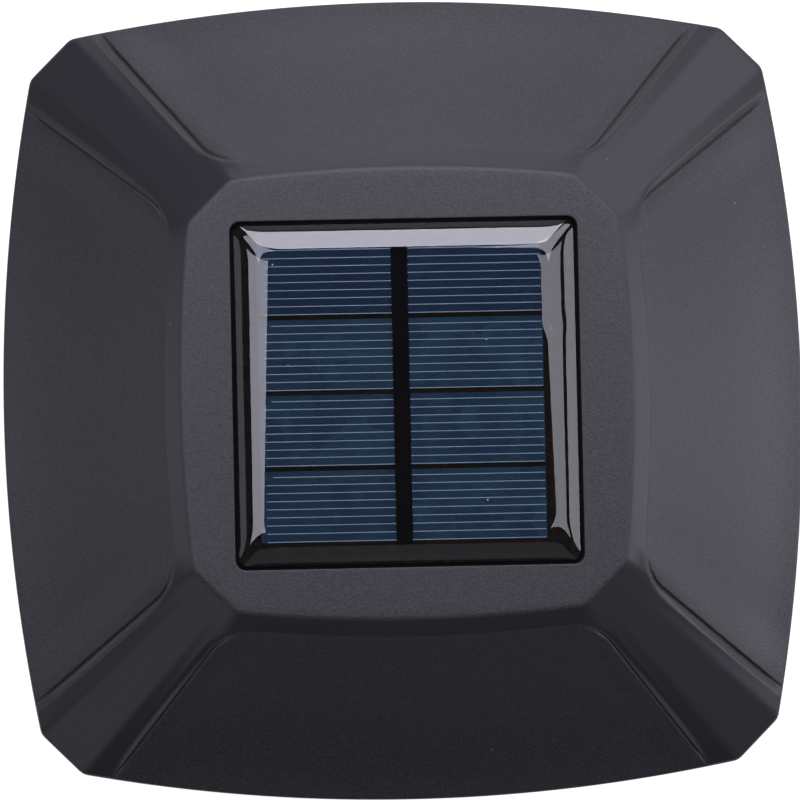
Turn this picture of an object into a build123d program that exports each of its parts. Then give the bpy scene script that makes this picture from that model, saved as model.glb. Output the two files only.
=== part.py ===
from build123d import *
import os
from math import sqrt

# Solar post cap light, in millimetres. Z is the post's axis and points up, and the skirt stands on
# Z = 0. Seen from above, +X is to the right and +Y is up.

# Roof
roof_width = 160.0  # across the middles of two facing sides
roof_side_radius = 336.0  # bow of each side at the rim
roof_corner_length = 11.5  # length of the flat that cuts each corner
rim_height = 5.5  # upright edge of the roof
roof_rise = 24.0  # rim to platform
roof_wall = 2.2
drip_edge = 1.2  # rim below the soffit
ledge_width = 3.5  # ledge inside the rim that the soffit is sealed to
roof_boss_radius = 3.5

# Platform on the roof, and the four scooped side panels between the ridges
platform_width = 88.0
platform_corner_length = 11.7
band_width = 3.5  # plain band between the platform and a scooped panel
ridge_width_at_platform = 11.8
ridge_width_at_rim = 21.2
scoop_step = 0.5  # drop from the band into the panel
scoop_sag = 2.2  # panel below a straight slope, at its middle
scoop_rim_drop = 0.4  # panel below the ridges, at the rim
scoop_corner_radius = 4.0
scoop_overrun = 12.0  # cut past the rim

# Solar panel in the platform's pocket
panel_width = 66.6
panel_gap = 0.5  # pocket wall to panel
panel_corner_radius = 1.6
pocket_depth = 2.4
sealant_thickness = 0.4
panel_board_thickness = 1.2
cell_count = 4
cell_length = 55.6
cell_width = 14.05
cell_gap = 0.7  # between neighbouring cells
cell_offset = (-1.0, 0.4)  # middle of the cells from the middle of the panel
cell_thickness = 0.25
tape_width = 3.2
tape_thickness = 0.15
tape_overhang = 0.6  # tape past the first and the last cell
resin_inset = 0.2  # resin inside the board's edge
resin_thickness = 1.6
resin_edge_radius = 1.2

# Soffit plate and lamp board
soffit_thickness = 2.5
soffit_gap = 0.5  # soffit's edge to the rim
roof_seal_thickness = 0.8
soffit_screw_offset = 44.0  # axis to each roof screw
lens_rib_height = 3.0  # rib on the soffit, outside the lens
lens_rib_width = 1.8
tie_boss_height = 8.0
led_board_width = 44.0
led_board_thickness = 1.6
led_offset = 12.0  # each lamp chip from the axis, along X and Y
led_width = 3.5
led_height = 0.8
led_screw_offset = 18.0
led_boss_height = 4.0
led_boss_radius = 2.5

# Lens, a four-sided ring that flares upwards
lens_height = 28.0
lens_wall = 2.0
lens_flare = 3.0  # outward lean of each wall over the height
lens_corner_radius = 6.0
lens_clear = 4.5  # chassis edge to lens
lens_gap = 0.3  # lens to the lips around it
lens_seal_thickness = 0.8

# Post, and the skirt that goes over it
post_width = 89.0
post_gap = 0.5
rib_depth = 5.0
rib_width = 2.5
rib_offset = 28.0  # each rib from the middle of its wall
rib_foot = 4.0  # ribs start this far above the skirt's edge
socket_depth = 34.0
skirt_wall = 2.8
skirt_corner_radius = 6.0
post_screw_spacing = 24.0
post_screw_height = 14.0
post_screw_hole_radius = 2.25

# Sill and deck above the skirt
deck_thickness = 4.0
sill_ledge = 13.5  # sill outside the lens
sill_corner_length = 8.0
sill_edge = 4.0  # upright edge of the sill
sill_drop = 1.0  # sill's underside below the deck's
sill_rise = 5.0  # slope from the sill's edge up to the lens
sill_slope_width = 11.0

# Chassis plate, which closes the lantern from below
chassis_lap = 7.0  # plate over the deck, around the deck's opening
chassis_thickness = 3.5
chassis_corner_radius = 3.0
chassis_seal_thickness = 0.6
seal_setback = 0.5  # seals stay this far from the edges of what they seal
pillar_radius = 3.5
finger_room = 6.6  # deck opening around the battery door

# Battery, one AA cell lying along X
battery_diameter = 14.2
battery_length = 50.0
battery_nub_radius = 2.75
battery_nub_length = 1.2
battery_edge_radius = 0.6
battery_side_gap = 0.4
battery_door_gap = 0.3
well_wall = 1.5
contact_thickness = 0.4
contact_width = 10.0
contact_gap = 0.1
spring_length = 3.6  # how far the bowed spring stands off its plate
tail_height = 3.0
tail_length = 2.5  # solder tail outside the well
tail_slot_gap = 0.1

# Battery door and its hinge along +Y
door_lap = 2.0  # door over the well's edge
door_thickness = 2.0
door_gap = 0.3
door_swing_gap = 0.7  # at the free edge, whose corner swings outwards
door_seat_gap = 0.1
hinge_reach = 1.6  # hinge axis outside the door's edge
hinge_drop = 2.2  # hinge axis below the door
hinge_pin_radius = 1.0
hinge_pin_gap = 0.05
hinge_barrel_radius = 1.7
hinge_barrel_length = 6.0
hinge_barrel_offset = 15.0  # each barrel from the door's middle
hinge_arm_reach = 3.0  # arm under the door
hinge_arm_gap = 0.4  # arm below the chassis plate
ear_length = 3.0
ear_wall = 0.85
ear_side_gap = 0.3
ear_toward_door = 1.2
thumb_tab_length = 10.0
thumb_tab_width = 1.5
thumb_tab_height = 1.4

# Circuit board beside the battery well
board_length = 46.0
board_width = 14.0
board_thickness = 1.2
board_gap = 2.8  # well to board
board_standoff = 4.5
board_post_radius = 2.4
board_screw_offset = 20.0
chip_size = (5.0, 4.0, 1.6)
chip_place = (9.5, -2.5)  # from the middle of the board
choke_radius = 2.6
choke_height = 4.6
choke_place = (-10.0, -2.5)
capacitor_radius = 2.2
capacitor_height = 5.5
capacitor_place = (15.0, 3.0)

# Slide switch between the circuit board and the chassis plate
switch_travel = 4.0
switch_gap = 0.15
switch_wall = 0.8
knob_foot = (3.4, 2.6, 1.2)
knob_stem = (2.4, 1.8)
knob_cap = (6.0, 3.6, 2.4)
knob_cap_gap = 0.2

# White cover over the battery and the circuit board
cover_wall = 1.5
cover_gap = 0.8  # around the well's ends
cover_top_gap = 0.4
cover_draft = 2.8  # lean of the cover's end walls
cover_apron = 8.0  # cover's foot beyond the circuit board
cover_shoulder = 4.0  # cover's top edge inside the circuit board's
spout_radius = 4.5
spout_bore = 3.0
cover_tab = (6.0, 8.0, 1.5)

# Leads
lead_radius = 0.55
lead_pair_gap = 2.8  # between the two leads of a pair
lead_row_gap = 1.7  # between the panel's pair and the lamps' pair
lead_bend = 1.8
lead_slack = 1.0
led_pad_offset = 5.2
led_lead_rise = 4.2
battery_lead_rise = 3.0
wire_slot_length = 16.0
wire_slot_width = 7.0

# Screws: head radius, head height, shank radius
tie_screw = (2.8, 2.0, 1.5)
roof_screw = (2.8, 2.0, 1.5)
small_screw = (2.0, 1.4, 1.0)
screw_hole_gap = 0.25  # shank in a plain hole
thread_gap = 0.05  # shank in its boss
counterbore_gap = 0.4
roof_screw_length = 10.0
small_screw_length = 5.0
reflector_screw_length = 4.2
pilot_spare = 0.5  # pilot hole past the screw's tip
driver_slot_width = 0.8
driver_slot_depth = 0.9

# Levels, from the skirt's edge up
deck_bottom = socket_depth
deck_top = deck_bottom + deck_thickness
plate_bottom = deck_top + chassis_seal_thickness
plate_top = plate_bottom + chassis_thickness
lens_bottom = deck_top + lens_seal_thickness
lens_top = lens_bottom + lens_height
soffit_bottom = lens_top + lens_seal_thickness
soffit_top = soffit_bottom + soffit_thickness
ledge_level = soffit_top + roof_seal_thickness
rim_bottom = soffit_bottom - drip_edge
rim_top = rim_bottom + rim_height
platform_level = rim_top + roof_rise
pocket_floor = platform_level - pocket_depth
panel_board_bottom = pocket_floor + sealant_thickness
panel_board_top = panel_board_bottom + panel_board_thickness
cell_top = panel_board_top + cell_thickness
resin_top = panel_board_top + resin_thickness
led_board_bottom = soffit_bottom - led_board_thickness

# Battery well, and the door under it
well_length = battery_length + 2 * contact_thickness + spring_length + 2 * contact_gap
well_width = battery_diameter + 2 * battery_side_gap
well_end = well_length / 2 + well_wall
well_side = well_width / 2 + well_wall
door_length = well_length + 2 * door_lap
door_width = well_width + 2 * door_lap
door_top = plate_bottom + door_thickness
battery_level = door_top + door_seat_gap + battery_door_gap + battery_diameter / 2
well_ceiling = battery_level + battery_diameter / 2 + battery_side_gap
well_top = well_ceiling + well_wall
plus_wall = well_length / 2
minus_wall = -well_length / 2
battery_plus_end = plus_wall - contact_thickness - contact_gap
hinge_y = door_width / 2 + hinge_reach
hinge_z = plate_bottom - hinge_drop
ear_radius = hinge_pin_radius + hinge_pin_gap + ear_wall

# Plan sizes, from the battery door outwards
deck_opening = door_length + 2 * finger_room
chassis_width = deck_opening + 2 * chassis_lap
pillar_offset = deck_opening / 2 + chassis_lap / 2
lens_inner_width = chassis_width + 2 * lens_clear
lens_width = lens_inner_width + 2 * lens_wall
lens_top_width = lens_width + 2 * lens_flare
skirt_inner_width = post_width + 2 * (post_gap + rib_depth)
skirt_width = skirt_inner_width + 2 * skirt_wall
sill_width = lens_width + 2 * sill_ledge
sill_bottom = deck_bottom - sill_drop
sill_shoulder = sill_bottom + sill_edge
sill_top = sill_shoulder + sill_rise
lens_lean = lens_flare / lens_height
lens_seat_width = lens_width + 2 * (lens_gap + lens_lean * (sill_top - lens_bottom))
pocket_width = panel_width + 2 * panel_gap
pocket_corner_radius = panel_corner_radius + panel_gap

# Circuit board, switch and cover
board_y = -(well_side + board_gap + board_width / 2)
board_bottom = plate_top + board_standoff
board_top = board_bottom + board_thickness
board_far_edge = well_side + board_gap + board_width
cover_top_x = well_end + cover_gap + cover_wall
cover_foot_x = cover_top_x + cover_draft
cover_foot_y = board_far_edge + cover_apron
cover_top_y = board_far_edge - cover_shoulder
cover_ceiling = well_top + cover_top_gap
cover_top = cover_ceiling + cover_wall
cover_screw_x = cover_foot_x + cover_tab[0] / 2
wire_y = board_y + board_width / 2 - spout_bore - lead_radius
switch_y = board_y
knob_x = -switch_travel / 2

corner_places = [(x, y) for x in (-1, 1) for y in (-1, 1)]
tie_places = [(pillar_offset * x, pillar_offset * y) for x, y in corner_places]
roof_screw_places = [
    (soffit_screw_offset, 0),
    (0, soffit_screw_offset),
    (-soffit_screw_offset, 0),
    (0, -soffit_screw_offset),
]
led_screw_places = [(-led_screw_offset, 0), (led_screw_offset, 0)]
board_screw_places = [(-board_screw_offset, board_y), (board_screw_offset, board_y)]
cover_screw_places = [(-cover_screw_x, 0), (cover_screw_x, 0)]


class BowedSquare:
    """A square outline with bowed sides and corners cut off flat, centred on the post's axis."""

    def __init__(self, width, side_radius, corner_length):
        self.width = width
        self.side_radius = side_radius
        self.corner_length = corner_length

    def inset(self, distance):
        """The outline whose sides lie this far inside."""
        return BowedSquare(self.width - 2 * distance, self.side_radius - distance, self.corner_length)

    def side_end(self):
        """Where the +Y side's bow meets the corner flat between +X and +Y."""
        step = self.corner_length / sqrt(2)
        side_centre = self.width / 2 - self.side_radius
        rise = step - side_centre
        x = (sqrt(2 * self.side_radius**2 - rise**2) - rise) / 2
        return x, x + step

    def corner_reach(self):
        """Distance from the post's axis to a corner flat."""
        return sum(self.side_end()) / sqrt(2)

    def face(self, level):
        """The flat face that the outline bounds, at a level."""
        x, y = self.side_end()
        side = ThreePointArc((-x, y), (0, self.width / 2), (x, y))
        flat = Line((x, y), (y, x))
        edges = [Rot(0, 0, -90 * turn) * edge for turn in range(4) for edge in (side, flat)]
        return Pos(0, 0, level) * make_face(edges)

    def prism(self, bottom, top):
        return extrude(self.face(bottom), top - bottom)


def parallel_outline(width, corner_length):
    """An outline whose bowed sides run parallel to those of the roof's rim."""
    return BowedSquare(width, roof_side_radius - (roof_width - width) / 2, corner_length)


rim_outline = BowedSquare(roof_width, roof_side_radius, roof_corner_length)
platform_outline = parallel_outline(platform_width, platform_corner_length)
sill_outline = parallel_outline(sill_width, sill_corner_length)


def block(x0, x1, y0, y1, z0, z1):
    """A box between two corners."""
    centre = Pos((x0 + x1) / 2, (y0 + y1) / 2, (z0 + z1) / 2)
    return centre * Box(abs(x1 - x0), abs(y1 - y0), abs(z1 - z0))


def centred_block(x, y, length, width, bottom, top):
    """A box around an upright axis."""
    return block(x - length / 2, x + length / 2, y - width / 2, y + width / 2, bottom, top)


def post(x, y, radius, bottom, top):
    """An upright cylinder."""
    return Pos(x, y, (bottom + top) / 2) * Cylinder(radius, top - bottom)


def posts(places, radius, bottom, top):
    return [post(x, y, radius, bottom, top) for x, y in places]


def square_prism(width, radius, bottom, top):
    """An upright square bar with rounded corners, around the post's axis."""
    return extrude(Pos(0, 0, bottom) * RectangleRounded(width, width, radius), top - bottom)


def square_taper(width, top_width, radius, bottom, top):
    """A square bar with rounded corners whose width changes with height."""
    lower = Pos(0, 0, bottom) * RectangleRounded(width, width, radius)
    upper = Pos(0, 0, top) * RectangleRounded(top_width, top_width, radius)
    return loft([lower, upper], ruled=True)


def screw(size, length, upward=True):
    """A cross-head screw along Z, with the underside of its head on the origin."""
    head_radius, head_height, shank_radius = size
    body = post(0, 0, shank_radius, 0, length) + post(0, 0, head_radius, -head_height, 0)
    slot_floor = driver_slot_depth - head_height
    for length_x, length_y in ((head_radius, driver_slot_width), (driver_slot_width, head_radius)):
        body -= centred_block(0, 0, length_x, length_y, -head_height, slot_floor)
    return body if upward else Rot(180, 0, 0) * body


def screws(size, length, places, level, upward=True):
    one = screw(size, length, upward)
    return Compound([Pos(x, y, level) * one for x, y in places])


def lead(points, bend):
    """A round lead along straight runs joined by bends."""
    path = FilletPolyline(*points, radius=bend)
    start = Plane(origin=path @ 0, z_dir=path % 0)
    return sweep(start * Circle(lead_radius), path=path)


def roof_hip():
    """The roof as a solid hip, before anything is taken out of it."""
    slope = loft([rim_outline.face(rim_top), platform_outline.face(platform_level)], ruled=True)
    return rim_outline.prism(rim_bottom, rim_top) + slope


def ridge_edge_point(diagonal, ridge_width):
    """Where a ridge's edge lies in plan, on the +Y side of the corner between +X and +Y."""
    half = ridge_width / 2
    return Vector((diagonal - half) / sqrt(2), (diagonal + half) / sqrt(2))


def side_scoop():
    """What is taken out of the hip to leave the scooped panel on the +Y side."""
    near = ridge_edge_point(platform_outline.corner_reach(), ridge_width_at_platform)
    far = ridge_edge_point(rim_outline.corner_reach(), ridge_width_at_rim)
    beyond = far + (far - near).normalized() * scoop_overrun
    side_centre = roof_width / 2 - roof_side_radius
    inner_y = platform_width / 2 + band_width
    wedge = make_face(
        Polyline(
            (-near.X, near.Y), (-beyond.X, beyond.Y), (beyond.X, beyond.Y), (near.X, near.Y), close=True
        )
    )
    plan = wedge - Pos(0, side_centre) * Circle(inner_y - side_centre)
    plan = fillet(plan.vertices().sort_by(Axis.Y)[:2], scoop_corner_radius)

    # The panel's hollow runs along the rim's own bow, so it is turned about the bow's centre.
    hip_slope = roof_rise / ((roof_width - platform_width) / 2)
    inner_level = platform_level - band_width * hip_slope - scoop_step
    rim_level = rim_top - scoop_rim_drop
    rim_y = roof_width / 2
    middle = ((inner_y + rim_y) / 2, (inner_level + rim_level) / 2 - scoop_sag)
    inside = inner_y - band_width
    outside = rim_y + scoop_overrun
    hollow = ThreePointArc((0, inner_y, inner_level), (0, *middle), (0, rim_y, rim_level))
    border = Polyline(
        (0, rim_y, rim_level),
        (0, outside, rim_level),
        (0, outside, platform_level),
        (0, inside, platform_level),
        (0, inside, inner_level),
        (0, inner_y, inner_level),
    )
    turning = Axis((0, side_centre, 0), (0, 0, 1))
    sector = 40
    profile = make_face([hollow, *border.edges()]).rotate(turning, -sector / 2)
    ring = revolve(profile, turning, sector)
    return ring & extrude(Pos(0, 0, rim_bottom) * plan, platform_level - rim_bottom)


def roof_shell():
    hip = roof_hip()
    scoop = side_scoop()
    outside = hip - [Rot(0, 0, 90 * turn) * scoop for turn in range(4)]
    outside -= square_prism(pocket_width, pocket_corner_radius, pocket_floor, platform_level)

    # The cavity keeps the wall under the deepest part of the scooped panels.
    slope_run = (roof_width - platform_width) / 2
    upright_wall = roof_wall * sqrt(1 + (roof_rise / slope_run) ** 2)
    cavity = Pos(0, 0, -scoop_sag - upright_wall) * hip
    ceiling = pocket_floor - roof_wall
    cavity &= rim_outline.inset(roof_wall + ledge_width).prism(ledge_level, ceiling)
    rebate = rim_outline.inset(roof_wall).prism(rim_bottom, ledge_level)
    shell = outside - rebate - cavity

    bosses = posts(roof_screw_places, roof_boss_radius, soffit_top, ceiling)
    shell += bosses
    pilot_top = soffit_bottom + roof_screw_length + pilot_spare
    shell -= posts(roof_screw_places, roof_screw[2] + thread_gap, soffit_top, pilot_top)
    return shell - post(0, wire_y, wire_slot_width / 2, ledge_level, pocket_floor)


def panel_sealant():
    bed = square_prism(panel_width, panel_corner_radius, pocket_floor, panel_board_bottom)
    return bed - post(0, wire_y, wire_slot_width / 2, pocket_floor, panel_board_bottom)


def panel_board():
    return square_prism(panel_width, panel_corner_radius, panel_board_bottom, panel_board_top)


def solar_cells():
    pitch = cell_width + cell_gap
    x, middle = cell_offset
    first = middle - pitch * (cell_count - 1) / 2
    rows = [first + pitch * row for row in range(cell_count)]
    return [centred_block(x, y, cell_length, cell_width, panel_board_top, cell_top) for y in rows]


def busbar_tape():
    length = cell_count * cell_width + (cell_count - 1) * cell_gap + 2 * tape_overhang
    return centred_block(*cell_offset, tape_width, length, cell_top, cell_top + tape_thickness)


def panel_resin():
    width = panel_width - 2 * resin_inset
    slab = square_prism(width, panel_corner_radius, panel_board_top, resin_top)
    slab = fillet(slab.faces().sort_by(Axis.Z)[-1].edges(), resin_edge_radius)
    return slab - solar_cells() - busbar_tape()


def panel_leads():
    y = wire_y + lead_row_gap / 2
    slack_level = (soffit_top + panel_board_bottom) / 2
    runs = []
    for side in (-1, 1):
        x = side * lead_pair_gap / 2
        runs.append(
            lead(
                [
                    (x, y, panel_board_bottom),
                    (x, y, slack_level + 3 * lead_bend),
                    (x + side * lead_slack, y, slack_level),
                    (x, y, slack_level - 3 * lead_bend),
                    (x, y, board_top),
                ],
                lead_bend,
            )
        )
    return Compound(runs)


def soffit_plate():
    plate = rim_outline.inset(roof_wall + soffit_gap).prism(soffit_bottom, soffit_top)
    rib_inner = lens_top_width + 2 * lens_gap
    rib_outer = rib_inner + 2 * lens_rib_width
    rib_bottom = soffit_bottom - lens_rib_height
    inner_radius = lens_corner_radius + lens_gap
    rib = square_prism(rib_outer, inner_radius + lens_rib_width, rib_bottom, soffit_bottom)
    plate += rib - square_prism(rib_inner, inner_radius, rib_bottom, soffit_bottom)
    tie_boss_top = soffit_top + tie_boss_height
    plate += posts(tie_places, pillar_radius, soffit_top, tie_boss_top)
    plate += posts(led_screw_places, led_boss_radius, soffit_top, soffit_top + led_boss_height)
    plate -= posts(tie_places, tie_screw[2] + thread_gap, soffit_bottom, tie_boss_top)
    plate -= posts(roof_screw_places, roof_screw[2] + screw_hole_gap, soffit_bottom, soffit_top)
    led_pilot_top = led_board_bottom + small_screw_length + pilot_spare
    plate -= posts(led_screw_places, small_screw[2] + thread_gap, soffit_bottom, led_pilot_top)
    slot = Pos(0, wire_y, soffit_bottom) * SlotOverall(wire_slot_length, wire_slot_width)
    return plate - extrude(slot, soffit_thickness)


def roof_seal():
    outer = rim_outline.inset(roof_wall + seal_setback)
    inner = rim_outline.inset(roof_wall + ledge_width - seal_setback)
    return outer.prism(soffit_top, ledge_level) - inner.prism(soffit_top, ledge_level)


def led_board():
    board = square_prism(led_board_width, panel_corner_radius, led_board_bottom, soffit_bottom)
    board -= posts(led_screw_places, small_screw[2] + screw_hole_gap, led_board_bottom, soffit_bottom)
    return board - post(0, wire_y, spout_bore, led_board_bottom, soffit_bottom)


def leds():
    bottom = led_board_bottom - led_height
    return Compound(
        [
            centred_block(led_offset * x, led_offset * y, led_width, led_width, bottom, led_board_bottom)
            for x, y in corner_places
        ]
    )


def led_leads():
    y = wire_y - lead_row_gap / 2
    crest = soffit_bottom + led_lead_rise
    runs = []
    for side in (-1, 1):
        pad_x = side * led_pad_offset
        x = side * lead_pair_gap / 2
        route = [(pad_x, y, soffit_bottom), (pad_x, y, crest), (x, y, crest), (x, y, board_top)]
        runs.append(lead(route, lead_bend))
    return Compound(runs)


def lens():
    inner_radius = lens_corner_radius - lens_wall
    outside = square_taper(lens_width, lens_top_width, lens_corner_radius, lens_bottom, lens_top)
    inner_top_width = lens_top_width - 2 * lens_wall
    return outside - square_taper(lens_inner_width, inner_top_width, inner_radius, lens_bottom, lens_top)


def lens_seal(width, bottom):
    """A flat ring as wide as the lens's wall, set back from both of its edges."""
    setback = 2 * seal_setback
    outer = square_prism(width - setback, lens_corner_radius - seal_setback, bottom, bottom + lens_seal_thickness)
    inner_radius = lens_corner_radius - lens_wall
    inner_width = width - 2 * lens_wall + setback
    return outer - square_prism(inner_width, inner_radius, bottom, bottom + lens_seal_thickness)


def reflector_cover():
    foot = Pos(0, 0, plate_top) * Rectangle(2 * cover_foot_x, 2 * cover_foot_y)
    crown = Pos(0, 0, cover_top) * Rectangle(2 * cover_top_x, 2 * cover_top_y)
    inner_foot = Pos(0, 0, plate_top) * Rectangle(
        2 * (cover_foot_x - cover_wall), 2 * (cover_foot_y - cover_wall)
    )
    inner_crown = Pos(0, 0, cover_ceiling) * Rectangle(
        2 * (cover_top_x - cover_wall), 2 * (cover_top_y - cover_wall)
    )
    tab_length, tab_width, tab_thickness = cover_tab
    reach = cover_foot_x + tab_length
    cover = loft([foot, crown], ruled=True)
    cover += block(-reach, reach, -tab_width / 2, tab_width / 2, plate_top, plate_top + tab_thickness)
    cover += post(0, wire_y, spout_radius, cover_ceiling, led_board_bottom)
    cover -= loft([inner_foot, inner_crown], ruled=True)
    cover -= post(0, wire_y, spout_bore, cover_ceiling, led_board_bottom)
    hole_radius = small_screw[2] + screw_hole_gap
    return cover - posts(cover_screw_places, hole_radius, plate_top, plate_top + tab_thickness)


def hinge_rod(radius, x0, x1):
    """A round bar on the door's hinge axis."""
    return Pos((x0 + x1) / 2, hinge_y, hinge_z) * Rot(0, 90, 0) * Cylinder(radius, abs(x1 - x0))


def hinge_ear(side):
    """An ear under the chassis plate, outside one of the door's barrels."""
    near = side * (hinge_barrel_offset + hinge_barrel_length / 2 + ear_side_gap)
    far = near + side * ear_length
    ear = hinge_rod(ear_radius, near, far)
    ear += block(near, far, hinge_y - ear_toward_door, hinge_y + ear_radius, hinge_z, plate_bottom)
    return ear - hinge_rod(hinge_pin_radius + hinge_pin_gap, near, far)


def battery_door():
    half_x = door_length / 2
    half_y = door_width / 2
    door = block(-half_x, half_x, -half_y, half_y, plate_bottom, door_top)
    tab_y = thumb_tab_width - half_y
    tab_x = thumb_tab_length / 2
    door += block(-tab_x, tab_x, -half_y, tab_y, plate_bottom - thumb_tab_height, plate_bottom)
    for side in (-1, 1):
        inner = side * (hinge_barrel_offset - hinge_barrel_length / 2)
        outer = side * (hinge_barrel_offset + hinge_barrel_length / 2)
        pin_end = outer + side * (ear_side_gap + ear_length)
        arm_y = half_y - hinge_arm_reach
        door += hinge_rod(hinge_barrel_radius, inner, outer)
        door += hinge_rod(hinge_pin_radius, inner, pin_end)
        door += block(inner, outer, arm_y, hinge_y, hinge_z, plate_bottom - hinge_arm_gap)
        door += block(inner, outer, arm_y, half_y, hinge_z, plate_bottom)
    return door


def battery_cell():
    length = battery_length - battery_nub_length
    can = Rot(0, 90, 0) * Cylinder(battery_diameter / 2, length)
    can = fillet(can.edges().filter_by(GeomType.CIRCLE), battery_edge_radius)
    can_middle = battery_plus_end - battery_nub_length - length / 2
    nub_middle = battery_plus_end - battery_nub_length / 2
    nub = Rot(0, 90, 0) * Cylinder(battery_nub_radius, battery_nub_length)
    return Pos(can_middle, 0, battery_level) * can + Pos(nub_middle, 0, battery_level) * nub


def contact_plate(wall_x, inward):
    """A flat contact against one end wall of the well, with its tail out through the side wall."""
    inner_x = wall_x + inward * contact_thickness
    half = contact_width / 2
    plate = block(wall_x, inner_x, -half, half, battery_level - half, battery_level + half)
    tail_end = -(well_side + tail_length)
    return plate + block(wall_x, inner_x, tail_end, -half, battery_level, battery_level + tail_height)


def battery_spring():
    """The contact with a bowed leaf that presses the cell against the other contact."""
    plate_x = minus_wall + contact_thickness
    crest_x = plate_x + spring_length
    half = contact_width / 2
    outer = ThreePointArc(
        (plate_x, 0, battery_level - half), (crest_x, 0, battery_level), (plate_x, 0, battery_level + half)
    )
    inner_half = half - contact_thickness
    inner_crest = crest_x - contact_thickness
    inner = ThreePointArc(
        (plate_x, 0, battery_level + inner_half),
        (inner_crest, 0, battery_level),
        (plate_x, 0, battery_level - inner_half),
    )
    ends = [Line(outer @ 1, inner @ 0), Line(inner @ 1, outer @ 0)]
    leaf = extrude(make_face([outer, inner, *ends]), half / 2, dir=(0, 1, 0), both=True)
    return contact_plate(minus_wall, 1) + leaf


def battery_leads():
    tail_y = -(well_side + tail_length / 2)
    tail_top = battery_level + tail_height
    crest = tail_top + battery_lead_rise
    pad_x = board_screw_offset
    pad_y = board_y + board_width / 2 - 2 * lead_radius
    runs = []
    for wall_x, inward in ((minus_wall, 1), (plus_wall, -1)):
        x = wall_x + inward * contact_thickness / 2
        pad = -inward * pad_x
        route = [(x, tail_y, tail_top), (x, tail_y, crest), (pad, pad_y, crest), (pad, pad_y, board_top)]
        runs.append(lead(route, lead_bend))
    return Compound(runs)


def chassis_plate():
    plate = square_prism(chassis_width, chassis_corner_radius, plate_bottom, plate_top)
    plate += block(-well_end, well_end, -well_side, well_side, plate_top, well_top)
    plate += posts(tie_places, pillar_radius, plate_top, soffit_bottom)
    plate += posts(board_screw_places, board_post_radius, plate_top, board_bottom)
    plate += [hinge_ear(side) for side in (-1, 1)]

    half_x = well_length / 2
    half_y = well_width / 2
    plate -= block(-half_x, half_x, -half_y, half_y, plate_bottom, well_ceiling)
    seat_x = door_length / 2 + door_gap
    free_y = -door_width / 2 - door_swing_gap
    hinge_side_y = door_width / 2 + door_gap
    plate -= block(-seat_x, seat_x, free_y, hinge_side_y, plate_bottom, door_top + door_seat_gap)
    for wall_x, inward in ((minus_wall, 1), (plus_wall, -1)):
        slot_x = wall_x + inward * (contact_thickness + tail_slot_gap)
        slot_bottom = battery_level - tail_slot_gap
        slot_top = battery_level + tail_height + tail_slot_gap
        plate -= block(wall_x - inward * tail_slot_gap, slot_x, -well_side, 0, slot_bottom, slot_top)

    plate -= posts(tie_places, tie_screw[2] + screw_hole_gap, plate_bottom, soffit_bottom)
    board_pilot = board_top - small_screw_length - pilot_spare
    plate -= posts(board_screw_places, small_screw[2] + thread_gap, board_pilot, board_bottom)
    tab_top = plate_top + cover_tab[2]
    cover_pilot = tab_top - reflector_screw_length - pilot_spare
    plate -= posts(cover_screw_places, small_screw[2] + thread_gap, cover_pilot, plate_top)
    stem_length, stem_width = knob_stem
    slot_length = stem_length + switch_travel + 2 * switch_gap
    slot_width = stem_width + 2 * switch_gap
    return plate - centred_block(0, switch_y, slot_length, slot_width, plate_bottom, plate_top)


def chassis_seal():
    outer_width = chassis_width - 2 * seal_setback
    inner_width = deck_opening + 2 * seal_setback
    ring = square_prism(outer_width, chassis_corner_radius, deck_top, plate_bottom)
    ring -= square_prism(inner_width, seal_setback, deck_top, plate_bottom)
    return ring - posts(tie_places, tie_screw[2] + screw_hole_gap, deck_top, plate_bottom)


def circuit_board():
    board = centred_block(0, board_y, board_length, board_width, board_bottom, board_top)
    return board - posts(board_screw_places, small_screw[2] + screw_hole_gap, board_bottom, board_top)


def driver_chip():
    length, width, height = chip_size
    x, y = chip_place
    return centred_block(x, board_y + y, length, width, board_top, board_top + height)


def choke_coil():
    x, y = choke_place
    return post(x, board_y + y, choke_radius, board_top, board_top + choke_height)


def capacitor():
    x, y = capacitor_place
    return post(x, board_y + y, capacitor_radius, board_top, board_top + capacitor_height)


def switch_body():
    foot_length, foot_width, foot_height = knob_foot
    stem_length, stem_width = knob_stem
    room_length = foot_length + switch_travel + 2 * switch_gap
    room_width = foot_width + 2 * switch_gap
    floor_top = plate_top + switch_wall
    room_top = floor_top + foot_height + 2 * switch_gap
    length = room_length + 2 * switch_wall
    width = room_width + 2 * switch_wall
    mouth_length = stem_length + switch_travel + 2 * switch_gap
    mouth_width = stem_width + 2 * switch_gap
    body = centred_block(0, switch_y, length, width, plate_top, board_bottom)
    body -= centred_block(0, switch_y, room_length, room_width, floor_top, room_top)
    return body - centred_block(0, switch_y, mouth_length, mouth_width, plate_top, floor_top)


def switch_knob():
    foot_length, foot_width, foot_height = knob_foot
    stem_length, stem_width = knob_stem
    cap_length, cap_width, cap_height = knob_cap
    foot_bottom = plate_top + switch_wall + switch_gap
    cap_top = plate_bottom - knob_cap_gap
    foot_top = foot_bottom + foot_height
    knob = centred_block(knob_x, switch_y, foot_length, foot_width, foot_bottom, foot_top)
    knob += centred_block(knob_x, switch_y, stem_length, stem_width, cap_top, foot_bottom)
    return knob + centred_block(knob_x, switch_y, cap_length, cap_width, cap_top - cap_height, cap_top)


def post_ribs():
    """Two ribs inside each wall of the skirt, which centre the post."""
    wall = skirt_inner_width / 2
    ribs = []
    for turn in range(4):
        for offset in (-rib_offset, rib_offset):
            rib = block(
                wall - rib_depth, wall, offset - rib_width / 2, offset + rib_width / 2, rib_foot, deck_bottom
            )
            ribs.append(Rot(0, 0, 90 * turn) * rib)
    return ribs


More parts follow.
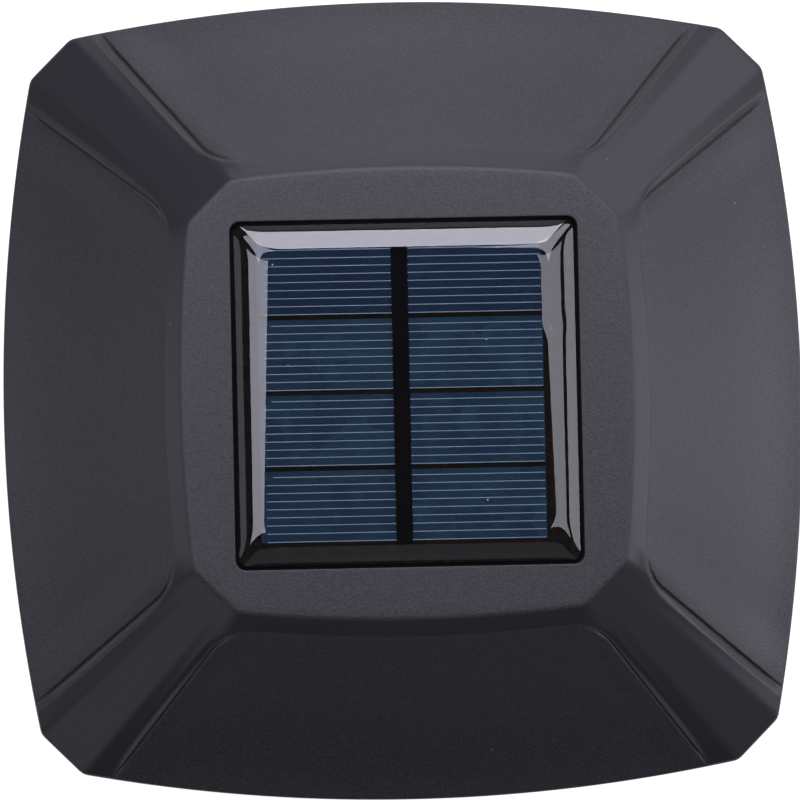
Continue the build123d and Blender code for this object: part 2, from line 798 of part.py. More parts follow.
def base_collar():
    inner_radius = skirt_corner_radius - skirt_wall
    slope_top = sill_outline.inset(sill_slope_width).face(sill_top)
    collar = square_prism(skirt_width, skirt_corner_radius, 0, deck_bottom)
    collar += sill_outline.prism(sill_bottom, sill_shoulder)
    collar += loft([sill_outline.face(sill_shoulder), slope_top], ruled=True)
    collar -= square_prism(skirt_inner_width, inner_radius, 0, deck_bottom)
    collar -= square_prism(lens_seat_width, lens_corner_radius + lens_gap, deck_top, sill_top)
    collar -= square_prism(deck_opening, chassis_corner_radius, deck_bottom, deck_top)
    collar += post_ribs()

    head_radius, head_height, shank_radius = tie_screw
    head_seat = deck_bottom + head_height + counterbore_gap
    collar -= posts(tie_places, head_radius + counterbore_gap, deck_bottom, head_seat)
    collar -= posts(tie_places, shank_radius + screw_hole_gap, deck_bottom, deck_top)
    for y in (-post_screw_spacing / 2, post_screw_spacing / 2):
        drill = Rot(0, 90, 0) * Cylinder(post_screw_hole_radius, 2 * skirt_width)
        collar -= Pos(0, y, post_screw_height) * drill
    return collar


tie_screw_seat = deck_bottom + tie_screw[1] + counterbore_gap
tie_screw_length = soffit_top + tie_boss_height - pilot_spare - tie_screw_seat
cover_screw_seat = plate_top + cover_tab[2]

nodes = {
    "roof_shell": roof_shell(),
    "panel_sealant": panel_sealant(),
    "panel_board": panel_board(),
    "solar_cells": Compound(solar_cells()),
    "busbar_tape": busbar_tape(),
    "panel_resin": panel_resin(),
    "panel_leads": panel_leads(),
    "soffit_plate": soffit_plate(),
    "roof_seal": roof_seal(),
    "roof_screws": screws(roof_screw, roof_screw_length, roof_screw_places, soffit_bottom),
    "led_board": led_board(),
    "leds": leds(),
    "led_board_screws": screws(small_screw, small_screw_length, led_screw_places, led_board_bottom),
    "led_leads": led_leads(),
    "lens": lens(),
    "lens_seal_top": lens_seal(lens_top_width, lens_top),
    "lens_seal_bottom": lens_seal(lens_width, deck_top),
    "reflector_cover": reflector_cover(),
    "reflector_screws": screws(
        small_screw, reflector_screw_length, cover_screw_places, cover_screw_seat, upward=False
    ),
    "chassis_plate": chassis_plate(),
    "chassis_seal": chassis_seal(),
    "circuit_board": circuit_board(),
    "circuit_board_screws": screws(
        small_screw, small_screw_length, board_screw_places, board_top, upward=False
    ),
    "driver_chip": driver_chip(),
    "choke_coil": choke_coil(),
    "capacitor": capacitor(),
    "battery_cell": battery_cell(),
    "battery_contact": contact_plate(plus_wall, -1),
    "battery_spring": battery_spring(),
    "battery_leads": battery_leads(),
    "battery_door": battery_door(),
    "switch_body": switch_body(),
    "switch_knob": switch_knob(),
    "base_collar": base_collar(),
    "tie_screws": screws(tie_screw, tie_screw_length, tie_places, tie_screw_seat),
}

os.makedirs("parts", exist_ok=True)
for name, shape in nodes.items():
    export_step(shape, f"parts/{name}.step")
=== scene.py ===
from math import asin, cos, pi, radians, sin, sqrt, tan

import bmesh
import bpy
import numpy as np
from mathutils import Matrix, Vector


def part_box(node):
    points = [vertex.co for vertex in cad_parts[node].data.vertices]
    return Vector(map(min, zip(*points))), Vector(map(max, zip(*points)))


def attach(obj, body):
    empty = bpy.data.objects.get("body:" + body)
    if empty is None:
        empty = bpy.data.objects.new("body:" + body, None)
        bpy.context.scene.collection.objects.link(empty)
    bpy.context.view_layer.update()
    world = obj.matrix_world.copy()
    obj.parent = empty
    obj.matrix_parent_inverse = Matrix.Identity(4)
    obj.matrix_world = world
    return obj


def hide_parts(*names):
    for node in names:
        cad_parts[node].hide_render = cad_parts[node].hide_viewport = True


# A solar post cap light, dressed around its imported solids. Lengths are millimetres in the solids'
# frame until a mesh, a light or the camera is made, which is in metres.
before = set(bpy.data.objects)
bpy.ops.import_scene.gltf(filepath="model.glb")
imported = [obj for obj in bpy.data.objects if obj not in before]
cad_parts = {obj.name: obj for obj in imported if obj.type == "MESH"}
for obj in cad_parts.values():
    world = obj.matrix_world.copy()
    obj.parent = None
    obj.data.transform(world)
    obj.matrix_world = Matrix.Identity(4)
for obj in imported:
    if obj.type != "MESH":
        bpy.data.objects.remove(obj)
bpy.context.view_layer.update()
mm = 0.001


def extent(node):
    """A solid's lowest and highest corners, in millimetres."""
    low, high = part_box(node)
    return np.array(low) / mm, np.array(high) / mm


# Sizes read from the solids
roof_low, roof_high = extent("roof_shell")
cell_low, cell_high = extent("solar_cells")
tape_low, tape_high = extent("busbar_tape")
resin_low, resin_high = extent("panel_resin")
lens_low, lens_high = extent("lens")
knob_low, knob_high = extent("switch_knob")
door_low, door_high = extent("battery_door")
board_half = extent("panel_board")[1][0]
pocket_floor = extent("panel_sealant")[0][2]
soffit_top = extent("soffit_plate")[1][2]
ledge_level = extent("roof_seal")[1][2]

# Roof
roof_width = 2 * roof_high[0]
roof_side_radius = 336.0  # bow of each side at the rim
roof_corner_length = 11.5  # flat that cuts each corner
roof_corner_radius = 3.0  # rounding at both ends of that flat
rim_bottom = roof_low[2]
rim_height = 5.5
rim_edge_radius = 0.5
rim_foot = 0.5  # cut off the rim's lower edge
rim_top = rim_bottom + rim_height
platform_level = roof_high[2]
roof_rise = platform_level - rim_top
platform_width = 88.0
platform_corner_length = 11.7
platform_corner_radius = 4.0
platform_edge = 0.55  # rounding of the platform's edge, to each side of it
slope_run = (roof_width - platform_width) / 2
side_centre = roof_width / 2 - roof_side_radius  # centre of a side's bow, on the Y axis
roof_wall = 2.2
ledge_width = 3.5
ceiling_level = pocket_floor - roof_wall
ceiling_reach = 1.4  # how far the level ceiling inside runs past the platform's edge
roof_boss_radius = 3.5
roof_boss_offset = 44.0
roof_boss_overlap = 0.5  # how far a boss goes into the ceiling
roof_boss_bore = 1.55
roof_boss_bore_depth = 8.0

# Ridges and scooped panels
band_width = 3.5
ridge_width_at_platform = 11.8
ridge_width_at_rim = 21.2
ridge_shoulder = 1.5  # rounded edge of a ridge, above the panel
shoulder_curve = 2.0  # the higher, the steeper it ends
band_shoulder = 0.4  # small step at the edge of the band
# How much nearer to a ridge than to the band, where the band's step becomes the ridge's rounding
shoulder_change = (-2.0, 4.0)
band_lift = 0.5  # band above the straight slope, at its outer edge
band_lift_change = (-1.0, 4.0)  # from a ridge's edge, where the lift starts and is full
scoop_step = 0.08
scoop_sag = 1.6
sag_factor = 2.12  # p - p**4 is 1 / 2.12 where it is largest, 0.63 of the way to the rim
scoop_rim_drop = 0.35
scoop_corner_radius = 4.5
crease_depth = 0.45  # narrow groove at the foot of a ridge
crease_width = 0.26
crease_place = 0.42  # from the ridge's edge
crease_start = (0.2, 3.0)  # from the band's edge, where the groove starts and is full
crease_end = (0.9, 1.0)  # and where it runs out, as parts of the way to the rim
grain_border = 0.25  # to each side of a panel's edge
hollow_at_ridge = 0.5  # how much of a panel's depth it has beside a ridge
hollow_reach = 10.0  # and how far from there it takes to the full depth

# Pocket and solar panel
panel_gap = 0.7
pocket_half = board_half + panel_gap
pocket_corner_radius = 2.1
pocket_edge_radius = 0.15
pocket_border = 0.3  # flat ring of the platform around that rounding
bead_height = 0.4  # sealant in the gap, above the pocket's floor
bead_hollow = 0.1
bead_overlap = 0.03  # into the board and the roof
resin_inset = 0.1  # bare board around the resin
resin_half = board_half - resin_inset
resin_settling = 0.05  # how much lower it lies than the solid, at its top and its foot
resin_top = resin_high[2] - resin_settling
resin_corner_radius = 1.6
resin_margin = 6.9  # width of the rounded margin at the back and the front
resin_left_margin = 6.35  # at the middle of the left side, and it widens towards the back
resin_left_slant = 0.042
resin_right_margin = 5.5  # at the middle of the right side, and it widens towards the back
resin_right_slant = 0.03
resin_right_change = (9.0, 13.0)  # along Y, to the full margin
resin_edge_slope = 0.4355  # rise over run at the board's edge
resin_knee = 2.5  # from here inwards the margin is rounder or flatter, as its width asks
resin_knee_slope = 0.2663
cell_count = 4
cell_width = 14.05
cell_pitch = (cell_high[1] - cell_low[1] - cell_width) / (cell_count - 1)
cell_gap = cell_pitch - cell_width
bare_edge = 0.2  # dark edge of a cell, away from its last finger
fingers_per_cell = 9
finger_pitch = 1.57
finger_width = 0.15
finger_height = 0.012
finger_margin = (1.1, 0.2)  # bare silicon at a cell's left and right ends
first_finger_inset = 1.3  # how much later the first finger of a cell starts
tape_raggedness = 0.04  # how far the torn edge wanders
tape_peak = (0.35, 0.45)  # width and height of the corner that stands up at one end

# Lens
lens_wall = 2.0
lens_corner_radius = 6.0
lens_flare = 3.0
lens_height = lens_high[2] - lens_low[2]
flute_pitch = 3.3
flute_depth = 0.45
flute_land = 2.2  # plain rim above and below the flutes
flute_runout = 0.8  # how long a flute takes to its full depth

# Ribs for the thumb, on the switch knob and the battery door
door_thickness = 2.0
rib_width = 0.7
rib_height = 0.35
rib_pitch = 1.5
knob_rib_length = 2.8
door_rib_length = 14.0
door_rib_inset = 5.0  # middle rib from the door's free edge

moulded_edge = 0.4  # rounding of the edges of the other mouldings


def linear(colour):
    """An sRGB hex colour as linear red, green, blue and alpha."""
    parts = [int(colour[i : i + 2], 16) / 255 for i in (1, 3, 5)]
    return tuple(p / 12.92 if p <= 0.04045 else ((p + 0.055) / 1.055) ** 2.4 for p in parts) + (1.0,)


def shader(tree, kind, inputs=None, **settings):
    """A node with its settings, and with values or other nodes' outputs on its inputs."""
    made = tree.nodes.new(kind)
    for setting, value in settings.items():
        setattr(made, setting, value)
    for socket, value in (inputs or {}).items():
        if isinstance(value, bpy.types.NodeSocket):
            tree.links.new(value, made.inputs[socket])
        else:
            made.inputs[socket].default_value = value
    return made


def blank_material(name, uniform=None):
    """A material with nothing but its Principled shader, set where it is the same all over, and the
    coordinates of the object."""
    material = bpy.data.materials.new(name)
    material.use_nodes = True
    tree = material.node_tree
    surface = tree.nodes["Principled BSDF"]
    for socket, value in (uniform or {}).items():
        surface.inputs[socket].default_value = value
    place = shader(tree, "ShaderNodeTexCoord").outputs["Object"]
    return material, tree, surface, place


# What lies in the resin has no gloss of its own, because the resin bends light as much as it does.
under_resin = {"Specular IOR Level": 0.0}


def per_mm(size):
    """A texture scale whose pattern repeats about every so many millimetres."""
    return 1 / (size * mm)


def roof_abs():
    """Black ABS. Spark erosion of the mould leaves a dry, sand-like grain on the platform and the
    panels, whose lighter flecks are partly its own tone and partly painted sparkle of the grains' lit
    sides. The ridges and the band around the platform are satin and plain. A little dust lies on it."""
    material, tree, surface, place = blank_material(
        "black_abs_spark_eroded", {"Specular IOR Level": 0.3}
    )
    grained = shader(tree, "ShaderNodeAttribute", attribute_name="grain").outputs["Fac"]
    pits = shader(tree, "ShaderNodeTexNoise", {"Vector": place, "Scale": per_mm(0.36), "Detail": 2.0})
    # Lighter flecks where the pits stand high: partly the grain's own tone, partly painted sparkle of
    # lit grain sides
    mottle_with_painted_sparkle = shader(
        tree,
        "ShaderNodeMapRange",
        {
            "Value": pits.outputs["Fac"],
            "From Min": 0.3,
            "From Max": 0.7,
            "To Min": -0.35,
            "To Max": 1.35,
        },
        clamp=False,
    )
    drift = shader(tree, "ShaderNodeTexNoise", {"Vector": place, "Scale": per_mm(26), "Detail": 2.0})
    tone = shader(
        tree,
        "ShaderNodeMix",
        {"Factor": drift.outputs["Fac"], "A": linear("#1c1c1f"), "B": linear("#202023")},
        data_type="RGBA",
    )
    grain_tone_with_painted_sparkle = shader(
        tree,
        "ShaderNodeMix",
        {"Factor": mottle_with_painted_sparkle.outputs["Result"], "A": tone.outputs["Result"], "B": linear("#2b2b2e")},
        data_type="RGBA",
    )
    satin = shader(
        tree,
        "ShaderNodeMix",
        {"Factor": grained, "A": linear("#202023"), "B": grain_tone_with_painted_sparkle.outputs["Result"]},
        data_type="RGBA",
    )
    specks = shader(tree, "ShaderNodeTexVoronoi", {"Vector": place, "Scale": per_mm(11)})
    speck = shader(
        tree,
        "ShaderNodeMapRange",
        {
            "Value": specks.outputs["Distance"],
            "From Min": 0.012,
            "From Max": 0.02,
            "To Min": 0.35,
            "To Max": 0.0,
        },
    )
    dusty = shader(
        tree,
        "ShaderNodeMix",
        {"Factor": speck.outputs["Result"], "A": satin.outputs["Result"], "B": linear("#8b8b90")},
        data_type="RGBA",
    )
    rough = shader(tree, "ShaderNodeMapRange", {"Value": grained, "To Min": 0.36, "To Max": 0.4})
    relief = shader(
        tree,
        "ShaderNodeBump",
        {"Height": pits.outputs["Fac"], "Strength": grained, "Distance": 0.05 * mm},
    )
    tree.links.new(dusty.outputs["Result"], surface.inputs["Base Color"])
    tree.links.new(rough.outputs["Result"], surface.inputs["Roughness"])
    tree.links.new(relief.outputs["Normal"], surface.inputs["Normal"])
    return material


def grainy(name, dark, light, roughness, grain, depth, uniform=None):
    """A surface with fine grain of a size and a depth in millimetres, and a slow drift in tone."""
    material, tree, surface, place = blank_material(name, uniform)
    drift = shader(tree, "ShaderNodeTexNoise", {"Vector": place, "Scale": per_mm(22), "Detail": 2.0})
    tone = shader(
        tree,
        "ShaderNodeMix",
        {"Factor": drift.outputs["Fac"], "A": linear(dark), "B": linear(light)},
        data_type="RGBA",
    )
    pits = shader(tree, "ShaderNodeTexNoise", {"Vector": place, "Scale": per_mm(grain), "Detail": 3.0})
    rough = shader(
        tree,
        "ShaderNodeMapRange",
        {"Value": pits.outputs["Fac"], "To Min": roughness - 0.06, "To Max": roughness + 0.06},
    )
    relief = shader(
        tree, "ShaderNodeBump", {"Height": pits.outputs["Fac"], "Strength": 0.6, "Distance": depth * mm}
    )
    tree.links.new(tone.outputs["Result"], surface.inputs["Base Color"])
    tree.links.new(rough.outputs["Result"], surface.inputs["Roughness"])
    tree.links.new(relief.outputs["Normal"], surface.inputs["Normal"])
    return material


def sided(name, left, right, border, soft, roughness, grain, depth):
    """A grainy surface in two colours, that change at a place along X in millimetres."""
    material = grainy(name, right, right, roughness, grain, depth)
    tree = material.node_tree
    surface = tree.nodes["Principled BSDF"]
    place = shader(tree, "ShaderNodeTexCoord").outputs["Object"]
    along = shader(tree, "ShaderNodeSeparateXYZ", {"Vector": place})
    past = shader(
        tree,
        "ShaderNodeMapRange",
        {
            "Value": along.outputs["X"],
            "From Min": (border - soft) * mm,
            "From Max": (border + soft) * mm,
        },
    )
    colour = shader(
        tree,
        "ShaderNodeMix",
        {"Factor": past.outputs["Result"], "A": linear(left), "B": linear(right)},
        data_type="RGBA",
    )
    tree.links.new(colour.outputs["Result"], surface.inputs["Base Color"])
    return material


def glass_fibre_board(name, mask, over_copper, track, uniform=None):
    """A glass-fibre board under solder mask: glossy, with the tracks of copper showing as paler bands
    of a width in millimetres, and a trace of the weave."""
    material, tree, surface, place = blank_material(name, uniform)
    tracks = shader(
        tree,
        "ShaderNodeTexBrick",
        {
            "Vector": place,
            "Color1": linear(mask),
            "Color2": linear(mask),
            "Mortar": linear(over_copper),
            "Scale": per_mm(8 * track),
            "Mortar Size": 0.06,
            "Brick Width": 1.1,
            "Row Height": 0.5,
        },
    )
    weave = shader(tree, "ShaderNodeTexChecker", {"Vector": place, "Scale": per_mm(0.8)})
    relief = shader(
        tree,
        "ShaderNodeBump",
        {"Height": weave.outputs["Fac"], "Strength": 0.15, "Distance": 0.01 * mm},
    )
    rough = shader(
        tree, "ShaderNodeMapRange", {"Value": tracks.outputs["Fac"], "To Min": 0.28, "To Max": 0.36}
    )
    tree.links.new(tracks.outputs["Color"], surface.inputs["Base Color"])
    tree.links.new(rough.outputs["Result"], surface.inputs["Roughness"])
    tree.links.new(relief.outputs["Normal"], surface.inputs["Normal"])
    return material


def solar_silicon():
    """Polycrystalline silicon under a blue coating: crystals a few millimetres across that differ a
    little in blue and green, soft streaks down the cells, a first cell that is more navy than the
    others, a bare dark edge where each cell was cut, and a few specks of dust."""
    material, tree, surface, place = blank_material(
        "polycrystalline_silicon", {"Roughness": 0.34, **under_resin}
    )
    crystals = shader(
        tree,
        "ShaderNodeTexVoronoi",
        {"Vector": place, "Scale": per_mm(4.5), "Randomness": 1.0},
        distance="MANHATTAN",
    )
    hue = shader(tree, "ShaderNodeSeparateColor", {"Color": crystals.outputs["Color"]})
    long_way = shader(tree, "ShaderNodeMapping", {"Vector": place, "Scale": (1.0, 0.35, 1.0)})
    streaks = shader(
        tree,
        "ShaderNodeTexNoise",
        {"Vector": long_way.outputs["Vector"], "Scale": per_mm(5), "Detail": 4.0},
    )
    spread = shader(
        tree,
        "ShaderNodeMath",
        {0: hue.outputs["Red"], 1: streaks.outputs["Fac"]},
        operation="MULTIPLY",
    )
    coating = shader(
        tree,
        "ShaderNodeMix",
        {"Factor": spread.outputs["Value"], "A": linear("#131f2d"), "B": linear("#1b2e36")},
        data_type="RGBA",
    )
    across = shader(tree, "ShaderNodeSeparateXYZ", {"Vector": place})
    below_first = cell_high[1] - cell_width - cell_gap
    first_cell = shader(
        tree,
        "ShaderNodeMapRange",
        {
            "Value": across.outputs["Y"],
            "From Min": below_first * mm,
            "From Max": (below_first + cell_gap) * mm,
            "To Max": 0.75,
        },
    )
    tinted = shader(
        tree,
        "ShaderNodeMix",
        {"Factor": first_cell.outputs["Result"], "A": coating.outputs["Result"], "B": linear("#101928")},
        data_type="RGBA",
    )
    from_last = shader(
        tree, "ShaderNodeMath", {0: across.outputs["Y"], 1: cell_low[1] * mm}, operation="SUBTRACT"
    )
    in_cell = shader(
        tree,
        "ShaderNodeMath",
        {0: from_last.outputs["Value"], 1: cell_pitch * mm},
        operation="FLOORED_MODULO",
    )
    bare = shader(
        tree,
        "ShaderNodeMath",
        {0: in_cell.outputs["Value"], 1: (cell_width - bare_edge) * mm},
        operation="GREATER_THAN",
    )
    edged = shader(
        tree,
        "ShaderNodeMix",
        {"Factor": bare.outputs["Value"], "A": tinted.outputs["Result"], "B": linear("#0b0908")},
        data_type="RGBA",
    )
    specks = shader(tree, "ShaderNodeTexVoronoi", {"Vector": place, "Scale": per_mm(7)})
    speck = shader(
        tree,
        "ShaderNodeMapRange",
        {
            "Value": specks.outputs["Distance"],
            "From Min": 0.015,
            "From Max": 0.03,
            "To Min": 0.5,
            "To Max": 0.0,
        },
    )
    dusty = shader(
        tree,
        "ShaderNodeMix",
        {"Factor": speck.outputs["Result"], "A": edged.outputs["Result"], "B": linear("#aebac4")},
        data_type="RGBA",
    )
    tree.links.new(dusty.outputs["Result"], surface.inputs["Base Color"])
    return material


def clear_epoxy():
    """Poured clear epoxy: glassy, with a very slight unevenness of the cured surface."""
    material, tree, surface, place = blank_material(
        "poured_clear_epoxy",
        {"Base Color": linear("#fbfbfc"), "Roughness": 0.02, "IOR": 1.56, "Transmission Weight": 1.0},
    )
    waves = shader(tree, "ShaderNodeTexNoise", {"Vector": place, "Scale": per_mm(16), "Detail": 1.0})
    relief = shader(
        tree, "ShaderNodeBump", {"Height": waves.outputs["Fac"], "Strength": 0.2, "Distance": 0.05 * mm}
    )
    tree.links.new(relief.outputs["Normal"], surface.inputs["Normal"])
    return material


def frosted_acrylic():
    """Moulded acrylic, frosted: milky, with soft light through it and a dull sheen."""
    material, tree, surface, place = blank_material(
        "frosted_acrylic", {"Base Color": linear("#f0f0ec"), "IOR": 1.49, "Transmission Weight": 0.75}
    )
    frost = shader(tree, "ShaderNodeTexNoise", {"Vector": place, "Scale": per_mm(0.6), "Detail": 3.0})
    rough = shader(
        tree, "ShaderNodeMapRange", {"Value": frost.outputs["Fac"], "To Min": 0.28, "To Max": 0.42}
    )
    tree.links.new(rough.outputs["Result"], surface.inputs["Roughness"])
    return material


class Outline:
    """One eighth of a square with bowed sides and flat-cut corners, from the middle of its +Y side
    clockwise to the diagonal. Places along it are distances in millimetres."""

    def __init__(self, width, side_radius, corner_length, corner_radius):
        step = corner_length / sqrt(2)
        centre = width / 2 - side_radius
        rise = step - centre
        x = (sqrt(2 * side_radius**2 - rise**2) - rise) / 2
        corner = np.array([x, x + step])
        bow = asin(x / side_radius)
        after = np.array([1.0, -1.0]) / sqrt(2)
        cut = corner_radius * tan((pi / 4 - bow) / 2)
        side_points, rounding_points, flat_points = 80, 13, 9
        turns = np.linspace(0, bow - cut / side_radius, side_points)
        side = np.column_stack([side_radius * np.sin(turns), centre + side_radius * np.cos(turns)])
        f = np.linspace(0, 1, rounding_points)[:, None]
        start, end = side[-1], corner + after * cut
        rounding = start * (1 - f) ** 2 + 2 * corner * f * (1 - f) + end * f**2
        middle = corner + after * corner_length / 2
        flat = end + (middle - end) * np.linspace(0, 1, flat_points)[:, None]
        self.points = np.concatenate([side, rounding[1:], flat[1:]])
        steps = np.hypot(*np.diff(self.points, axis=0).T)
        self.places = np.concatenate([[0], np.cumsum(steps)])
        self.length = self.places[-1]
        self.reach = np.hypot(*middle)

    def at(self, places):
        return np.column_stack([np.interp(places, self.places, self.points[:, axis]) for axis in (0, 1)])

    def crossing(self, origin, direction):
        """The place where a straight line crosses the outline."""
        off = self.points - origin
        side = direction[0] * off[:, 1] - direction[1] * off[:, 0]
        k = np.nonzero(side[:-1] * side[1:] <= 0)[0][0]
        part = side[k] / (side[k] - side[k + 1])
        return self.places[k] + part * (self.places[k + 1] - self.places[k])


def all_round(eighth):
    """A closed loop from the points of one eighth, by mirroring and turning. Values after the first two
    are carried along."""
    mirrored = eighth[:0:-1].copy()
    mirrored[:, 0] *= -1
    side = np.concatenate([mirrored, eighth[:-1]])
    loops = []
    for turn in range(4):
        turned = side.copy()
        c, s = cos(-turn * pi / 2), sin(-turn * pi / 2)
        turned[:, 0] = c * side[:, 0] - s * side[:, 1]
        turned[:, 1] = s * side[:, 0] + c * side[:, 1]
        loops.append(turned)
    return np.concatenate(loops)


def rounded_square(angles, half, radius):
    """Points of a square with rounded corners, at angles around its centre."""
    c, s = np.cos(angles), np.sin(angles)
    flat = half / np.maximum(abs(c), abs(s))
    inner = half - radius
    along = inner * (abs(c) + abs(s))
    corner = along + np.sqrt(np.maximum(along**2 - 2 * inner**2 + radius**2, 0))
    on_corner = np.minimum(abs(c), abs(s)) * flat > inner
    reach = np.where(on_corner, corner, flat)
    return np.column_stack([reach * c, reach * s])


def at_level(loop, level):
    return np.column_stack([loop, np.full(len(loop), level)])


class Shell:
    """Vertices and faces of a mesh, gathered loop by loop."""

    def __init__(self):
        self.vertices = []
        self.faces = []

    def add(self, points):
        first = len(self.vertices)
        self.vertices.extend(tuple(p[:3]) for p in points)
        return range(first, first + len(points))

    def skin(self, loops, ring=False):
        """Joins loops of equal counts, and closes both ends, or the last loop to the first."""
        rows = [self.add(loop) for loop in loops]
        pairs = list(zip(rows, rows[1:]))
        if ring:
            pairs.append((rows[-1], rows[0]))
        else:
            self.faces.append(tuple(rows[0]))
            self.faces.append(tuple(reversed(rows[-1])))
        for lower, upper in pairs:
            count = len(lower)
            for i in range(count):
                j = (i + 1) % count
                self.faces.append((lower[i], lower[j], upper[j], upper[i]))

    def block(self, low, high):
        """A box between two corners."""
        corners = [(low[0], low[1]), (high[0], low[1]), (high[0], high[1]), (low[0], high[1])]
        self.skin([[(x, y, z) for x, y in corners] for z in (low[2], high[2])])


def piece(name, shell, material, body="lamp", instead_of=None, sharp=32):
    """A mesh object on a body of the frame, made from a shell in millimetres. Edges that turn by more
    than so many degrees stay sharp."""
    mesh = bpy.data.meshes.new(name)
    mesh.from_pydata([Vector(v) * mm for v in shell.vertices], [], shell.faces)
    work = bmesh.new()
    work.from_mesh(mesh)
    bmesh.ops.recalc_face_normals(work, faces=work.faces)
    work.to_mesh(mesh)
    work.free()
    mesh.polygons.foreach_set("use_smooth", [True] * len(mesh.polygons))
    mesh.set_sharp_from_angle(angle=radians(sharp))
    mesh.materials.append(material)
    made = bpy.data.objects.new(name, mesh)
    bpy.context.scene.collection.objects.link(made)
    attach(made, body)
    if instead_of:
        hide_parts(instead_of)
    return made


def smooth_step(values, low, high):
    f = np.clip((values - low) / (high - low), 0, 1)
    return f * f * (3 - 2 * f)


def ridge_edge(diagonal, width):
    """Where a ridge's edge lies in plan, on the +Y side of the diagonal between +X and +Y."""
    return np.array([diagonal - width / 2, diagonal + width / 2]) / sqrt(2)


class Roof:
    """The hipped roof: a platform with the panel's pocket, ridges to the corners, and hollow panels."""

    def __init__(self):
        rim = Outline(roof_width, roof_side_radius, roof_corner_length, roof_corner_radius)
        top = Outline(
            platform_width, roof_side_radius - slope_run, platform_corner_length, platform_corner_radius
        )
        self.near = ridge_edge(top.reach, ridge_width_at_platform)
        far = ridge_edge(rim.reach, ridge_width_at_rim)
        self.along = (far - self.near) / np.hypot(*(far - self.near))
        self.across = np.array([-self.along[1], self.along[0]])

        # Columns run from the platform to the rim. They follow a ridge's edge, and lie closest together
        # at the crease beside it and on its rounded shoulder.
        hollow = np.linspace(11.0, 4.8, 9)
        corner = np.linspace(4.4, 1.1, 15)
        crease = [0.98, 0.84, 0.73, 0.62, 0.52, 0.42, 0.32, 0.22, 0.11, 0.0]
        shoulder = -ridge_shoulder * np.linspace(0.04, 1, 16)
        past_shoulder = [-ridge_shoulder - 0.6]
        beside = np.concatenate([hollow, corner, crease, shoulder, past_shoulder])
        lines = [self.near + self.across * offset for offset in beside]
        on_top = np.array([top.crossing(line, self.along) for line in lines])
        on_rim = np.array([rim.crossing(line, self.along) for line in lines])
        panel_columns, ridge_columns = 13, 11
        panel = np.linspace(0, 1, panel_columns + 1)[:-1]
        ridge = np.linspace(0, 1, ridge_columns + 1)[1:]
        on_top = np.concatenate(
            [panel * on_top[0], on_top, on_top[-1] + ridge * (top.length - on_top[-1])]
        )
        on_rim = np.concatenate(
            [panel * on_rim[0], on_rim, on_rim[-1] + ridge * (rim.length - on_rim[-1])]
        )
        self.top = top.at(on_top)
        self.rim = rim.at(on_rim)

    def plan(self, distance):
        """One row of points, so far outside the platform's edge."""
        return self.top + (self.rim - self.top) * distance / slope_run

    def panel_places(self, plan):
        """How far each point lies from the ridge's edge, from the band's edge and inside the hollow
        panel, whose inner corners are rounded."""
        beside_ridge = (plan - self.near) @ self.across
        from_centre = np.hypot(plan[:, 0], plan[:, 1] - side_centre)
        below_band = from_centre + side_centre - platform_width / 2 - band_width
        r = scoop_corner_radius
        corner = r - np.hypot(np.maximum(r - beside_ridge, 0), np.maximum(r - below_band, 0))
        nearest = np.minimum(beside_ridge, below_band)
        inside = np.where((beside_ridge < r) & (below_band < r), corner, nearest)
        return beside_ridge, below_band, inside

    def row(self, distance):
        """One row of the slopes: x, y, level and how grained the surface is."""
        plan = self.plan(distance)
        beside_ridge, below_band, inside = self.panel_places(plan)
        part = max(distance - band_width, 0) / (slope_run - band_width)
        sag = scoop_sag * sag_factor * (part - part**4)
        depth = scoop_step * (1 - part) + scoop_rim_drop * part + sag
        by_ridge = smooth_step(below_band - beside_ridge, *shoulder_change)
        shoulder = inside / (band_shoulder + (ridge_shoulder - band_shoulder) * by_ridge) + 1
        hollow = hollow_at_ridge + (1 - hollow_at_ridge) * smooth_step(beside_ridge, 0, hollow_reach)
        fall = depth * hollow * np.clip(shoulder, 0, 1) ** shoulder_curve
        along = smooth_step(below_band, *crease_start) * (1 - smooth_step(part, *crease_end))
        fall += crease_depth * along * np.exp(-(((inside - crease_place) / crease_width) ** 2))
        lift = band_lift * min(max(distance, 0) / band_width, 1 - part)
        fall -= lift * smooth_step(beside_ridge, *band_lift_change)
        pitch = roof_rise / slope_run
        if distance < platform_edge:
            hip = pitch * max(distance + platform_edge, 0) ** 2 / (4 * platform_edge)
        else:
            hip = pitch * distance
        to_rim = slope_run - distance
        if to_rim < rim_edge_radius:
            hip += rim_edge_radius - sqrt(rim_edge_radius**2 - (rim_edge_radius - to_rim) ** 2)
        grain = np.ones(len(plan))
        if distance > 0:
            on_panel = smooth_step(inside, -grain_border, grain_border)
            grain = on_panel * smooth_step(to_rim, 0, rim_edge_radius)
        return np.column_stack([plan, platform_level - hip - fall, grain])

    def slope_rows(self):
        """The top from the platform to the rim, with rows closest together where it bends most."""
        edge = [-2.0, -platform_edge, -0.3, 0.0, 0.3, platform_edge, 1.2]
        band = np.linspace(1.6, band_width - 0.6, 5)
        step = np.linspace(band_width - 0.5, band_width + 0.5, 15)
        corners = np.linspace(band_width + 0.6, band_width + 5, 34)
        past_corners = np.linspace(band_width + 5.3, band_width + 6.8, 6)
        hollow = np.arange(band_width + 7.5, slope_run - 2, 1.25)
        rounding = slope_run - rim_edge_radius * np.array([1.4, 1.0, 0.7, 0.45, 0.25, 0.1, 0.03, 0.0])
        distances = np.concatenate([edge, band, step, corners, past_corners, hollow, rounding])
        return [all_round(self.row(distance)) for distance in distances]

